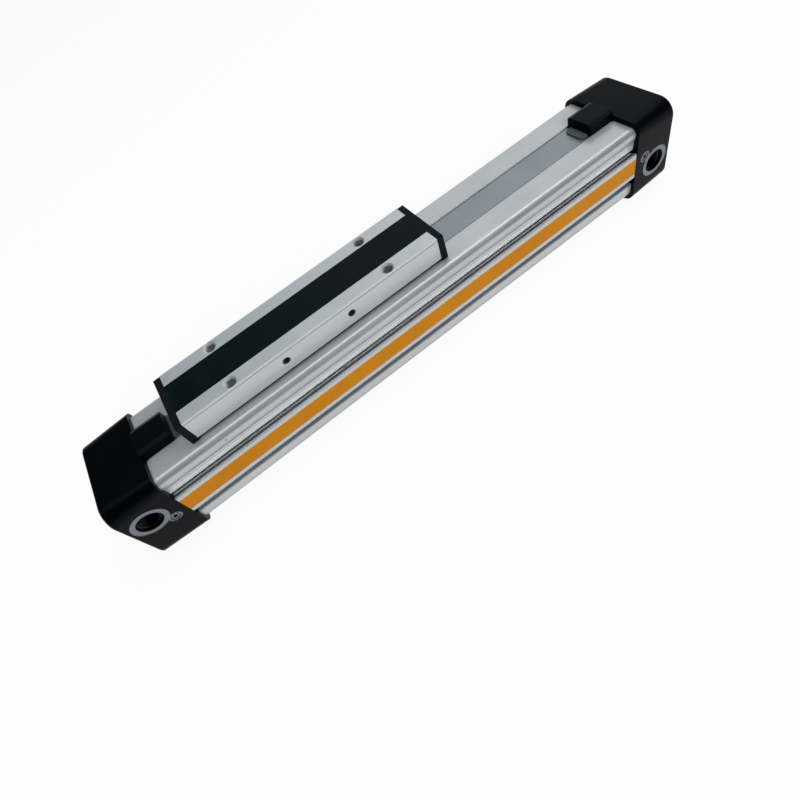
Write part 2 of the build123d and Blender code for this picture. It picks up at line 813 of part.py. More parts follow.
def make_piston_magnet():
    magnet_z = axis_height - magnet_below_middle
    inner = -yoke_half_length + magnet_length
    return at_rest(x_cylinder(magnet_diameter / 2, -yoke_half_length, inner, 0, magnet_z))


def yoke_screw_places():
    """Evenly spaced places along the stem."""
    first = stem_half_length - yoke_screw_end_inset
    pitch = 2 * first / (yoke_screw_count - 1)
    return [number * pitch - first for number in range(yoke_screw_count)]


def make_yoke_screw(x):
    """Countersunk screw from the trough's floor into the yoke."""
    top = carrier_floor_top
    head_middle = top - yoke_screw_head_height / 2
    head = Cone(yoke_screw_diameter / 2, yoke_screw_head_diameter / 2, yoke_screw_head_height)
    shank_top = top - yoke_screw_head_height
    shank_length = yoke_screw_length - yoke_screw_head_height
    shank = Pos(x, 0, shank_top - shank_length / 2) * Cylinder(yoke_screw_diameter / 2, shank_length)
    screw = Pos(x, 0, head_middle) * head + shank
    socket = Pos(x, 0) * RegularPolygon(yoke_screw_socket_size / 2, 6, major_radius=False)
    screw -= extrude(Pos(0, 0, top - yoke_screw_socket_depth) * socket, yoke_screw_socket_depth + 1)
    return at_rest(screw)


def ring_cut(outer_x, width, height):
    """Groove for a ring, its outer side at outer_x."""
    ring = x_cylinder(bore_radius + 1, outer_x - width, outer_x)
    return ring - x_cylinder(bore_radius - height, outer_x - width, outer_x)


def band_trough():
    """Space in the piston's top through which the inner band drops to its tunnel."""
    x_from, x_to = yoke_half_length - 1, trough_end_from_middle
    half = tunnel_half_width
    return block(x_from, x_to, -half, half, tunnel_floor, tunnel_floor + big)


def make_piston(side):
    outer = piston_half_span
    piston = x_cylinder(piston_radius, yoke_half_length, outer)
    piston = chamfer(piston.faces().sort_by(Axis.X)[-1].edges(), piston_edge_chamfer)
    piston -= ring_cut(outer - seal_inset, seal_width, seal_height)
    piston -= ring_cut(outer - wear_ring_inset, wear_ring_width, wear_ring_height)
    piston -= band_flat_cut()
    piston -= band_trough()
    pocket_floor = outer - cushion_pocket_depth
    piston -= x_cylinder(cushion_pocket_radius, pocket_floor, outer + 1)
    piston -= cushion_seal_ring(cushion_pocket_radius - 1)
    screw_radius = piston_screw_diameter / 2 + thread_gap
    piston -= x_cylinder(screw_radius, yoke_half_length - 1, outer)
    return at_rest(mirrored(piston, side))


def cushion_seal_ring(inner_radius):
    """Ring at the mouth of the cushion pocket."""
    outer_x = piston_half_span - cushion_seal_inset
    inner_x = outer_x - cushion_seal_width
    ring = x_cylinder(cushion_pocket_radius + cushion_seal_height, inner_x, outer_x)
    return ring - x_cylinder(inner_radius, inner_x - 1, outer_x + 1)


def make_cushion_seal(side):
    ring = cushion_seal_ring(cushion_tube_diameter / 2 + cushion_seal_gap)
    return at_rest(mirrored(ring, side))


def make_piston_seal(side):
    """Lip seal: its outer edge is chamfered towards the pressure side."""
    outer_x = piston_half_span - seal_inset
    inner_x = outer_x - seal_width
    outer_radius = bore_radius - seal_running_gap
    ring = x_cylinder(outer_radius, inner_x, outer_x)
    ring = chamfer(ring.faces().sort_by(Axis.X)[0].edges(), seal_height / 3)
    ring -= x_cylinder(bore_radius - seal_height, inner_x - 1, outer_x + 1)
    ring -= band_flat_cut()
    return at_rest(mirrored(ring, side))


def make_wear_ring(side):
    """Split ring, open at the top where the inner band passes."""
    outer_x = piston_half_span - wear_ring_inset
    inner_x = outer_x - wear_ring_width
    ring = x_cylinder(bore_radius - seal_running_gap, inner_x, outer_x)
    ring -= x_cylinder(bore_radius - wear_ring_height, inner_x - 1, outer_x + 1)
    ring -= band_trough()
    return at_rest(mirrored(ring, side))


def make_piston_screw(side):
    """Screw from the floor of the cushion pocket into the yoke."""
    head_top = piston_screw_head_from_middle
    seat = head_top - piston_screw_head_height
    screw = x_cylinder(piston_screw_head_diameter / 2, seat, head_top)
    screw += x_cylinder(piston_screw_diameter / 2, seat - piston_screw_length, seat)
    socket_low = head_top - piston_screw_socket_depth
    screw -= hexagon_x(piston_screw_socket_size, socket_low, head_top + 1, 0, axis_height)
    return at_rest(mirrored(screw, side))


def main():
    os.makedirs("parts", exist_ok=True)
    save(make_barrel(), "barrel_profile")
    save(make_accent_strip(), "accent_strip")
    save(make_outer_band(), "outer_band")
    save(make_inner_band(), "inner_band")
    save(make_carrier(), "carrier")
    save(make_cover_strip(), "cover_strip")
    save(make_yoke(), "piston_yoke")
    save(make_piston_magnet(), "piston_magnet")
    for name, side in (("left", -1), ("right", 1)):
        save(make_cap(side), f"end_cap_{name}")
        save(make_cap_seal(side), f"cap_seal_{name}")
        save(make_cushion_tube(side), f"cushion_tube_{name}")
        save(make_needle(side), f"cushion_needle_{name}")
        save(make_band_clamp(side), f"band_clamp_{name}")
        save(make_end_plate(side), f"end_plate_{name}")
        save(make_wiper(side), f"wiper_{name}")
        save(make_band_guide(side), f"band_guide_{name}")
        save(make_piston(side), f"piston_{name}")
        save(make_piston_seal(side), f"piston_seal_{name}")
        save(make_cushion_seal(side), f"cushion_seal_{name}")
        save(make_wear_ring(side), f"wear_ring_{name}")
        save(make_piston_screw(side), f"piston_screw_{name}")
        for number, (y, z) in enumerate(screw_places(), 1):
            save(make_cap_screw(side, y, z), f"cap_screw_{name}_{number}")
        for number, (y, z) in enumerate(plate_screw_places(), 1):
            save(make_plate_screw(side, y, z), f"plate_screw_{name}_{number}")
    for name, side in (("front", -1), ("back", 1)):
        save(make_magnet_strip(side), f"magnet_strip_{name}")
        save(make_glide(side), f"glide_strip_{name}")
    for number, x in enumerate(yoke_screw_places(), 1):
        save(make_yoke_screw(x), f"yoke_screw_{number}")


main()
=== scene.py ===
"""Looks of the rodless cylinder: finishes, screw threads, sealing bands, floor, lamps and camera."""
import json
from math import cos, pi, radians, sin

import bpy
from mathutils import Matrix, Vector


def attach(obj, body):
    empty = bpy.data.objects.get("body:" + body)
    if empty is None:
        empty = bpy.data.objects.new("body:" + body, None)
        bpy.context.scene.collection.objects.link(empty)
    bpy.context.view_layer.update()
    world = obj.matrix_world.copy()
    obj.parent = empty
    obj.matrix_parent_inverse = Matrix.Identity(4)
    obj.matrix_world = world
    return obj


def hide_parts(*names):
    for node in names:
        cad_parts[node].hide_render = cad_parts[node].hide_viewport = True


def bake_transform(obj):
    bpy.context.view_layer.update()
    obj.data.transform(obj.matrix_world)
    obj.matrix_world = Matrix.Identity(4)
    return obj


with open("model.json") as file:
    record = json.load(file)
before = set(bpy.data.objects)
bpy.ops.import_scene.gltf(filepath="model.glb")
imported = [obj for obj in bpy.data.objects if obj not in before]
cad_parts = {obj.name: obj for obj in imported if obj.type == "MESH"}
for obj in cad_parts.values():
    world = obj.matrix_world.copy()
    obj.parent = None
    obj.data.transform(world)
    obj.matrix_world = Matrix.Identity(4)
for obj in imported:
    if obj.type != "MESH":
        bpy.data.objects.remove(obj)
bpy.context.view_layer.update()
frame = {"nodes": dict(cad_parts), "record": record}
nodes = frame["nodes"]
MM = 0.001

# Places of the model, in millimetres
REST_X = -50.0  # middle of the carriage
BARREL_END = 148.8
CLAMP_REACH = 132.6  # from the model's middle to a clamp's thin lip
FRONT_Y = -26.0
TOP_Z = 64.2
CARRIAGE_FLOOR_Z = 50.4

# Port and cushion needle in each cap's front face
PORT_X = 164.2
PORT_Z = {"left": 32.0, "right": 20.0}
PORT_RADIUS = 5.9
PORT_RING = (6.5, 9.25)  # radii of the bare face around it
NEEDLE_X = 155.6
NEEDLE_Z = {"left": 23.8, "right": 28.2}
NEEDLE_RING = (2.5, 3.5)
RING_SINK = (0.12, 0.2)  # the rings lie this far behind the front face

# Threaded holes of the carriage, along X from its middle
TOP_HOLE_X = 45.0
TOP_HOLE_Y = 13.45
TOP_HOLE_RADIUS = 2.5
TOP_MOUTH_DEPTH = 0.85
SIDE_HOLE_X = 19.0
SIDE_HOLE_Y = 17.18
SIDE_HOLE_Z = 57.3
SIDE_HOLE_RADIUS = 2.1
SIDE_MOUTH_DEPTH = 0.13
HOLE_MARGIN = 0.06

# Barrel: painted light on the leaning side from its foot up, and a painted dark band below the rounded
# shoulder
FOOT_Y = 22.6
FOOT_Z = 36.2
FOOT_TOP_Z = 39.8
FOOT_PAINTED_LIGHT = 1.15
PAINTED_DARK_BAND_Z = (46.0, 47.5, 48.6)
PAINTED_DARK_BAND_TONE = 0.62

# Painted light and shade in stripes along the barrel, the same on both sides: |y| from and to, z from and
# to, tone
BARREL_PAINTED_STRIPES = (
    (20.6, 21.75, 33.0, 35.5, 0.12),  # painted shade in the gap above a side rail
    (21.75, 23.3, 33.0, 34.8, 2.0),  # painted light on the root of the rail
    (23.3, 24.8, 33.5, 34.9, 0.3),  # painted shade line on the rail's upper face
    (7.0, 8.35, 47.9, 48.3, 0.3),  # painted shade in the gap between the outer band and its channel
    (8.35, 8.5, 48.2, 48.97, 1.9),  # painted highlight on the wall of the channel
    (24.2, 26.0, 16.8, 18.5, 1.9),  # painted highlight on the lower corner of the rail
    (22.0, 26.0, 12.0, 13.1, 0.55),  # painted shadow on the upper edge of the side below the rail
    (22.0, 26.0, 6.0, 7.6, 0.8),  # painted shade on the lower edge of the side
)


def rgb(red, green, blue):
    return (red, green, blue, 1.0)


# Node graphs
class Graph:
    """Short way to write a node graph."""

    def __init__(self, tree):
        self.tree = tree

    def node(self, kind, inputs=None, **settings):
        made = self.tree.nodes.new(kind)
        for key, value in settings.items():
            setattr(made, key, value)
        for key, value in (inputs or {}).items():
            self.feed(made.inputs[key], value)
        return made

    def feed(self, socket, value):
        if isinstance(value, bpy.types.NodeSocket):
            self.tree.links.new(value, socket)
        else:
            socket.default_value = value

    def math(self, operation, a, b=0.0):
        return self.node("ShaderNodeMath", {0: a, 1: b}, operation=operation).outputs[0]

    def times(self, product, *factors):
        for factor in factors:
            product = self.math("MULTIPLY", product, factor)
        return product

    def size(self, value):
        return self.math("ABSOLUTE", value)

    def length(self, a, b):
        return self.math("SQRT", self.math("ADD", self.times(a, a), self.times(b, b)))

    def within(self, value, low, high):
        """1 between low and high, and 0 elsewhere."""
        return self.times(self.math("GREATER_THAN", value, low), self.math("LESS_THAN", value, high))

    def span(self, value, low, high, to_low=0.0, to_high=1.0):
        """Value taken from low..high to to_low..to_high, and held at the ends."""
        inputs = {"Value": value, "From Min": low, "From Max": high, "To Min": to_low, "To Max": to_high}
        return self.node("ShaderNodeMapRange", inputs).outputs[0]

    def mix(self, factor, a, b):
        """Colour between a and b."""
        made = self.node("ShaderNodeMix", {0: factor, 6: a, 7: b}, data_type="RGBA")
        return made.outputs[2]

    def ramp(self, value, stops):
        """Colour ramp over -1..1 through (place, colour) stops."""
        half = self.node("ShaderNodeMath", {0: value, 1: 0.5, 2: 0.5}, operation="MULTIPLY_ADD")
        made = self.node("ShaderNodeValToRGB", {"Fac": half.outputs[0]})
        elements = made.color_ramp.elements
        while len(elements) < len(stops):
            elements.new(0.5)
        for element, (place, colour) in zip(elements, stops):
            element.position = (place + 1) / 2
            element.color = rgb(*colour)
        return made.outputs["Color"]


class Finish(Graph):
    """Node graph of a material."""

    def __init__(self, name):
        self.material = bpy.data.materials.new(name)
        self.material.use_nodes = True
        super().__init__(self.material.node_tree)
        self.shader = self.tree.nodes["Principled BSDF"]
        self.place = self.node("ShaderNodeTexCoord").outputs["Object"]
        self.normal = None

    def noise(self, scale, stretch=(1, 1, 1), detail=3.0, roughness=0.55):
        """Noise with scale features per metre, stretched along the axes with a small factor."""
        mapping = self.node("ShaderNodeMapping", {"Vector": self.place, "Scale": stretch})
        inputs = {"Vector": mapping.outputs[0], "Scale": scale, "Detail": detail, "Roughness": roughness}
        return self.node("ShaderNodeTexNoise", inputs).outputs["Fac"]

    def shade(self, colour, factor):
        """Plain colour multiplied by a value."""
        made = self.node("ShaderNodeVectorMath", {0: colour[:3]}, operation="SCALE")
        self.feed(made.inputs["Scale"], factor)
        return made.outputs[0]

    def axes(self):
        return self.node("ShaderNodeSeparateXYZ", {0: self.place}).outputs

    def edge(self, radius, low=0.02, high=0.2):
        """1 on sharp outer edges and corners, falling to 0 within the radius."""
        bevel = self.node("ShaderNodeBevel", {"Radius": radius}, samples=12)
        flat = self.node("ShaderNodeNewGeometry").outputs["Normal"]
        dot = self.node("ShaderNodeVectorMath", {0: bevel.outputs[0], 1: flat}, operation="DOT_PRODUCT")
        bend = self.math("SUBTRACT", 1.0, dot.outputs["Value"])
        return self.span(bend, low, high)

    def crevice(self, reach, low=0.25, high=0.65):
        """0 deep in corners and gaps, rising to 1 in the open."""
        occlusion = self.node("ShaderNodeAmbientOcclusion", {"Distance": reach}, samples=16)
        return self.span(occlusion.outputs["AO"], low, high)

    def bump(self, height, strength, distance=0.05 * MM):
        """Adds a bump layer on top of what the normal has so far."""
        inputs = {"Height": height, "Strength": strength, "Distance": distance}
        if self.normal is not None:
            inputs["Normal"] = self.normal
        self.normal = self.node("ShaderNodeBump", inputs).outputs[0]

    def round_edges(self, radius):
        self.normal = self.node("ShaderNodeBevel", {"Radius": radius}, samples=6).outputs[0]

    def done(self, **sockets):
        """Feeds the shader's sockets, named with underscores for spaces, and returns the material."""
        for key, value in sockets.items():
            self.feed(self.shader.inputs[key.replace("_", " ")], value)
        if self.normal is not None:
            self.feed(self.shader.inputs["Normal"], self.normal)
        return self.material


# Finishes
LENGTHWISE = (0.012, 1.0, 1.0)


def drawn_metal(name, colour, roughness, metallic=1.0, edge_radius=0.3 * MM, streak=0.05, smudge=0.06,
                grain=0.06, crevice_shade=None, under=None, lines=None, holes=None):
    """Extruded or drawn metal: fine lines along X, soft smudges, and edges lightened as wear and as painted
    highlight.

    crevice_shade is the reach of the painted shade in corners and its darkest tone. under is the reach of
    the painted shadow below the carriage and the height it starts from. lines gives a tone of painted light
    and shade, and holes
    1 inside holes, which are darkened there as painted shade.
    """
    edge_wear_and_highlight_tone, under_shadow_tone, hole_shade_tone = 1.14, 0.05, 0.3
    graph = Finish(name)
    fine = graph.noise(5200, LENGTHWISE, detail=2.0)
    broad = graph.noise(700, LENGTHWISE, detail=3.0)
    cloud = graph.noise(38, detail=4.0)
    speck = graph.noise(900, detail=1.0)
    tone = graph.span(broad, 0.25, 0.75, 1 - streak, 1 + streak)
    tone = graph.times(tone, graph.span(cloud, 0.3, 0.7, 1 - smudge, 1 + smudge))
    tone = graph.times(tone, graph.span(speck, 0.70, 0.78, 1.0, 0.99))
    # edges lightened: partly wear, partly a painted highlight
    worn = graph.edge(edge_radius * 1.6)
    tone = graph.times(tone, graph.span(worn, 0.0, 1.0, 1.0, edge_wear_and_highlight_tone))
    rough = graph.span(cloud, 0.3, 0.7, roughness - 0.05, roughness + 0.06)
    rough = graph.math("ADD", rough, graph.span(fine, 0.3, 0.7, -0.015, 0.015))
    # painted shade: darkens the colour in corners and gaps where the occlusion is high
    if crevice_shade:
        reach, darkest = crevice_shade
        tone = graph.times(tone, graph.span(graph.crevice(reach), 0.0, 1.0, darkest, 1.0))
    # painted shadow: darkens the barrel where the carriage above occludes it
    if under:
        reach, lowest = under
        below = graph.math("LESS_THAN", graph.axes()["Z"], lowest)
        lit = graph.math("MAXIMUM", graph.crevice(reach, 0.35, 0.6), below)
        tone = graph.times(tone, graph.span(lit, 0.0, 1.0, under_shadow_tone, 1.0))
    if lines:
        tone = graph.times(tone, lines(graph))
    # painted shade inside the carriage's holes
    if holes:
        tone = graph.times(tone, graph.span(holes(graph), 0.0, 1.0, 1.0, hole_shade_tone))
    graph.round_edges(edge_radius)
    graph.bump(fine, grain)
    graph.bump(broad, grain)
    base = graph.shade(rgb(*colour), tone)
    return graph.done(Base_Color=base, Metallic=metallic, Roughness=rough, Specular_IOR_Level=0.3)


def carriage_holes(graph):
    """Mask for the painted shade inside the carriage's holes: 1 inside its side holes and less inside those
    on top, below their mouths.
    """
    top_shade_share = 0.3
    x, y, z = graph.axes()
    along = graph.size(graph.math("SUBTRACT", x, REST_X * MM))
    across = graph.size(y)
    from_top_hole = graph.length(graph.math("SUBTRACT", along, TOP_HOLE_X * MM),
                                 graph.math("SUBTRACT", across, TOP_HOLE_Y * MM))
    from_side_hole = graph.length(graph.math("SUBTRACT", along, SIDE_HOLE_X * MM),
                                  graph.math("SUBTRACT", z, SIDE_HOLE_Z * MM))
    top = graph.times(graph.math("LESS_THAN", from_top_hole, (TOP_HOLE_RADIUS + HOLE_MARGIN) * MM),
                      graph.math("LESS_THAN", z, (TOP_Z - TOP_MOUTH_DEPTH) * MM))
    side = graph.times(graph.math("LESS_THAN", from_side_hole, (SIDE_HOLE_RADIUS + HOLE_MARGIN) * MM),
                       graph.math("LESS_THAN", across, (SIDE_HOLE_Y - SIDE_MOUTH_DEPTH) * MM))
    return graph.math("MAXIMUM", graph.times(top, top_shade_share), side)


def carriage_painted_light(graph):
    """Tone of the carriage: painted light that lightens its sides towards their lower edge."""
    lift_top_z, painted_lift = 54.5, 1.3
    return graph.span(graph.axes()["Z"], CARRIAGE_FLOOR_Z * MM, lift_top_z * MM, painted_lift, 1.0)


def barrel_painted_light(graph):
    """Tone of the barrel: painted highlights where its long edges stand out, painted shade in the narrow
    gaps, painted light at the foot of the leaning side and a painted dark band under the shoulder.
    """
    below_foot = 0.1
    axes = graph.axes()
    across, height = graph.size(axes["Y"]), axes["Z"]
    # painted light: the leaning side is lightened towards its foot
    beside = graph.times(graph.math("GREATER_THAN", across, FOOT_Y * MM),
                         graph.math("GREATER_THAN", height, (FOOT_Z - below_foot) * MM))
    foot = graph.times(graph.span(height, FOOT_Z * MM, FOOT_TOP_Z * MM, FOOT_PAINTED_LIGHT, 0.0), beside)
    # painted shade: a dark band under the rounded shoulder
    low, middle, high = (z * MM for z in PAINTED_DARK_BAND_Z)
    painted_dark_band = graph.math("MAXIMUM", graph.span(height, low, middle, 1.0, PAINTED_DARK_BAND_TONE),
                        graph.span(height, middle, high, PAINTED_DARK_BAND_TONE, 1.0))
    tone = graph.times(graph.math("ADD", 1.0, foot), painted_dark_band)
    # painted light and shade in stripes along the barrel
    for y_low, y_high, z_low, z_high, painted_tone in BARREL_PAINTED_STRIPES:
        inside = graph.times(graph.within(across, y_low * MM, y_high * MM),
                             graph.within(height, z_low * MM, z_high * MM))
        tone = graph.times(tone, graph.span(inside, 0.0, 1.0, 1.0, painted_tone))
    return tone


def turned_metal(name, colour, roughness):
    """Machined or plated metal on small parts: fine mottling and bright edges."""
    edge_radius = 0.15 * MM
    graph = Finish(name)
    fine = graph.noise(4200, detail=3.0)
    cloud = graph.noise(260, detail=4.0)
    worn = graph.edge(edge_radius * 2)
    tone = graph.span(cloud, 0.3, 0.7, 0.86, 1.1)
    tone = graph.times(tone, graph.span(worn, 0.0, 1.0, 1.0, 1.25))
    rough = graph.span(fine, 0.3, 0.7, roughness - 0.06, roughness + 0.08)
    graph.round_edges(edge_radius)
    graph.bump(fine, 0.12)
    base = graph.shade(rgb(*colour), tone)
    return graph.done(Base_Color=base, Metallic=1.0, Roughness=rough)


def moulded(name, colour, roughness, grain=2600, depth=0.25, specular=0.4, inner=None):
    """Moulded plastic or rubber: fine leathery grain, slight scuffs and pale edges.

    inner is the distance from the model's middle within which the piece has another colour, and that colour.
    """
    edge_radius = 0.25 * MM
    graph = Finish(name)
    fine = graph.noise(grain, detail=2.0)
    cloud = graph.noise(90, detail=5.0, roughness=0.65)
    scuff = graph.noise(420, (0.25, 1.0, 1.0), detail=5.0, roughness=0.7)
    worn = graph.edge(edge_radius * 2)
    tone = graph.span(cloud, 0.3, 0.7, 0.85, 1.15)
    tone = graph.times(tone, graph.span(scuff, 0.62, 0.78, 1.0, 1.5))
    tone = graph.times(tone, graph.span(worn, 0.0, 1.0, 1.0, 1.35))
    rough = graph.span(cloud, 0.3, 0.7, roughness - 0.07, roughness + 0.07)
    graph.round_edges(edge_radius)
    graph.bump(fine, depth)
    base = graph.shade(rgb(*colour), tone)
    if inner:
        reach, paler = inner
        nearer = graph.math("LESS_THAN", graph.size(graph.axes()["X"]), reach * MM)
        base = graph.mix(nearer, base, graph.shade(rgb(*paler), tone))
    return graph.done(Base_Color=base, Roughness=rough, Specular_IOR_Level=specular)


def painted_cap(name, side):
    """Black coated cap: bare turned faces at the port and the needle, and chips on its edges."""
    sign = 1 if side == "right" else -1
    ring_lines_per_metre = 3500.0
    deepest_ring = 0.5
    chip_reach = 0.9 * MM
    graph = Finish(name)
    x, y, z = graph.axes()

    def from_axis(centre_x, centre_z):
        across = graph.math("SUBTRACT", x, sign * centre_x * MM)
        return graph.length(across, graph.math("SUBTRACT", z, centre_z * MM))

    port = from_axis(PORT_X, PORT_Z[side])
    needle = from_axis(NEEDLE_X, NEEDLE_Z[side])
    sunk = graph.span(y, (FRONT_Y + RING_SINK[0]) * MM, (FRONT_Y + RING_SINK[1]) * MM)
    in_front = graph.math("LESS_THAN", y, (FRONT_Y + deepest_ring) * MM)
    bare = graph.math("MAXIMUM", graph.within(port, *(r * MM for r in PORT_RING)),
                      graph.within(needle, *(r * MM for r in NEEDLE_RING)))
    bare = graph.times(bare, sunk, in_front)

    peel = graph.noise(1500, detail=2.0)
    cloud = graph.noise(60, detail=5.0, roughness=0.6)
    flake = graph.noise(520, detail=5.0, roughness=0.7)
    edges = graph.edge(chip_reach, 0.03, 0.28)
    chips = graph.times(graph.span(edges, 0.35, 0.9), graph.span(flake, 0.60, 0.66))
    rub = graph.times(edges, graph.span(cloud, 0.45, 0.7))
    metal = graph.math("MAXIMUM", bare, chips)

    rings = graph.node("ShaderNodeTexNoise", {"W": graph.times(port, ring_lines_per_metre), "Scale": 1.0},
                       noise_dimensions="1D").outputs["Fac"]
    paint_tone = graph.span(cloud, 0.3, 0.7, 0.8, 1.2)
    paint_tone = graph.math("ADD", paint_tone, graph.times(rub, 0.7))
    paint = graph.shade(rgb(0.0006, 0.0011, 0.0018), paint_tone)
    bright = graph.shade(rgb(0.20, 0.215, 0.24), graph.span(rings, 0.2, 0.8, 0.86, 1.1))
    base = graph.mix(metal, paint, bright)
    paint_rough = graph.span(cloud, 0.3, 0.7, 0.28, 0.38)
    metal_rough = 0.42
    rough = graph.node("ShaderNodeMix", {0: metal, 2: paint_rough, 3: metal_rough}).outputs[0]
    graph.round_edges(0.4 * MM)
    graph.bump(peel, 0.12)
    graph.bump(graph.times(rings, bare), 0.2)
    graph.bump(chips, -0.5)
    return graph.done(Base_Color=base, Metallic=metal, Roughness=rough, Specular_IOR_Level=0.05)


def accent(name):
    """Satin coloured strip with faint lengthwise scratches and painted shade along its edges."""
    shade_reach, painted_shade_tone = 0.9 * MM, 0.3
    graph = Finish(name)
    scratch = graph.noise(2400, (0.02, 1.0, 1.0), detail=4.0)
    cloud = graph.noise(45, detail=4.0)
    tone = graph.span(cloud, 0.3, 0.7, 0.94, 1.06)
    tone = graph.times(tone, graph.span(scratch, 0.60, 0.72, 1.0, 0.9))
    # painted shade where the strip meets the walls of its recess
    tone = graph.times(tone, graph.span(graph.crevice(shade_reach, 0.45, 0.8), 0.0, 1.0, painted_shade_tone, 1.0))
    rough = graph.span(scratch, 0.3, 0.7, 0.34, 0.44)
    graph.bump(scratch, 0.08)
    base = graph.shade(rgb(0.535, 0.197, 0.004), tone)
    return graph.done(Base_Color=base, Roughness=rough, Specular_IOR_Level=0.05)


finishes = {
    "barrel_aluminium": drawn_metal("barrel_aluminium", (0.49, 0.51, 0.52), 0.31, metallic=0.45,
                                    edge_radius=0.45 * MM, streak=0.03, smudge=0.04, grain=0.006,
                                    crevice_shade=(0.7 * MM, 0.7), under=(3.0 * MM, 48.6 * MM),
                                    lines=barrel_painted_light),
    "carrier_aluminium": drawn_metal("carrier_aluminium", (0.51, 0.545, 0.56), 0.36, metallic=0.5,
                                     edge_radius=0.2 * MM, streak=0.02, smudge=0.04, grain=0.03,
                                     holes=carriage_holes, lines=carriage_painted_light),
    "yoke_aluminium": turned_metal("yoke_aluminium", (0.50, 0.51, 0.52), 0.35),
    "tube_aluminium": turned_metal("tube_aluminium", (0.55, 0.56, 0.57), 0.28),
    "clamp_black": moulded("clamp_black", (0.0010, 0.0016, 0.0022), 0.36, specular=0.06,
                           inner=(CLAMP_REACH, (0.085, 0.09, 0.10))),
    "cover_black": moulded("cover_black", (0.0014, 0.0060, 0.0088), 0.34, depth=0.12, specular=0.06),
    "plate_black": moulded("plate_black", (0.0046, 0.0076, 0.0084), 0.5, specular=0.05),
    "glide_plastic": moulded("glide_plastic", (0.02, 0.02, 0.022), 0.55),
    "piston_plastic": moulded("piston_plastic", (0.45, 0.45, 0.42), 0.5),
    "wear_plastic": moulded("wear_plastic", (0.16, 0.15, 0.13), 0.5),
    "seal_rubber": moulded("seal_rubber", (0.012, 0.012, 0.012), 0.6, grain=3800),
    "wiper_grey": moulded("wiper_grey", (0.16, 0.175, 0.18), 0.6),
    "band_steel": drawn_metal("band_steel", (0.27, 0.30, 0.32), 0.26, metallic=0.85,
                              streak=0.03, smudge=0.05, grain=0.008),
    "inner_band_steel": drawn_metal("inner_band_steel", (0.36, 0.37, 0.38), 0.28, streak=0.07),
    "magnet_strip": moulded("magnet_strip", (0.03, 0.03, 0.03), 0.55),
    "magnet_metal": turned_metal("magnet_metal", (0.42, 0.42, 0.43), 0.3),
    "accent_orange": accent("accent_orange"),
    "screw_steel": turned_metal("screw_steel", (0.34, 0.35, 0.36), 0.34),
    "small_screw_steel": turned_metal("small_screw_steel", (0.20, 0.20, 0.21), 0.36),
    "needle_steel": turned_metal("needle_steel", (0.13, 0.135, 0.14), 0.3),
}
thread_black = turned_metal("thread_black", (0.022, 0.023, 0.025), 0.35)
thread_grey = turned_metal("thread_grey", (0.60, 0.62, 0.60), 0.35)
# painted shade: a darker copy of the carriage's thread finish, for its side holes
thread_painted_shade = turned_metal("thread_painted_shade", (0.16, 0.18, 0.20), 0.35)
caps = {side: painted_cap(f"cap_black_{side}", side) for side in ("left", "right")}

for part in frame["record"]["subparts"]:
    node = nodes[part["node"]]
    if part["material_slot"] == "cap_black":
        finish = caps[part["node"].rsplit("_", 1)[1]]
    else:
        finish = finishes[part["material_slot"]]
    node.data.materials.clear()
    node.data.materials.append(finish)


def new_piece(name, points, faces, slot, finish=None):
    """Mesh from points in millimetres."""
    mesh = bpy.data.meshes.new(name)
    mesh.from_pydata([Vector(p) * MM for p in points], [], faces)
    mesh.validate()
    mesh.materials.append(finish or finishes[slot])
    piece = bpy.data.objects.new(name, mesh)
    bpy.context.scene.collection.objects.link(piece)
    return piece


# Sealing bands
def strip(name, slot, stations, half_width, thickness):
    """Band along X through stations (x, height of its underside), with a softly rounded edge."""
    edge = thickness / 3
    points, faces = [], []
    for x, z in stations:
        inner = half_width - edge
        ring = [(-inner, z), (inner, z), (half_width, z + edge), (half_width, z + thickness - edge)]
        ring += [(inner, z + thickness), (-inner, z + thickness)]
        ring += [(-half_width, z + thickness - edge), (-half_width, z + edge)]
        points += [(x, y, height) for y, height in ring]
    count = len(ring)
    for row in range(len(stations) - 1):
        for k in range(count):
            a, b = row * count + k, row * count + (k + 1) % count
            faces.append((a, a + count, b + count, b))
    faces.append(tuple(range(count)))
    last = (len(stations) - 1) * count
    faces.append(tuple(last + k for k in reversed(range(count))))
    return new_piece(name, points, faces, slot)


def ease(t):
    return t * t * (3 - 2 * t)


def sealing_band(node, slot, half_width, low, high, start, end):
    """The band in three pieces: its middle goes with the carriage, and both flat ends are plain pieces that
    stay where they are.

    low and high are its heights, and start and end how far from the carriage's middle it moves from
    one to the other.
    """
    steps = 12
    thickness = 0.4
    hump_half = 72.4
    rise = []
    for k in range(steps + 1):
        rise.append((start + (end - start) * k / steps, low + (high - low) * ease(k / steps)))
    stations = [(REST_X - hump_half, low)] + [(REST_X - x, z) for x, z in rise]
    stations += [(REST_X + x, z) for x, z in reversed(rise)] + [(REST_X + hump_half, low)]
    hump = strip(node + "_hump", slot, stations, half_width, thickness)
    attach(hump, "carriage")
    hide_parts(node)
    for side, end_name in ((-1, "left"), (1, "right")):
        outer, inner = side * BARREL_END, REST_X + side * hump_half
        ends = sorted([(outer, low), (inner, low)])
        flat = strip(f"{node}_{end_name}", slot, ends, half_width, thickness)
        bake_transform(flat)
        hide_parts(node)


sealing_band("outer_band", "band_steel", half_width=7.6, low=48.1, high=55.0, start=70.0, end=50.0)
sealing_band("inner_band", "inner_band_steel", half_width=6.3, low=41.0, high=35.8, start=67.0, end=48.0)


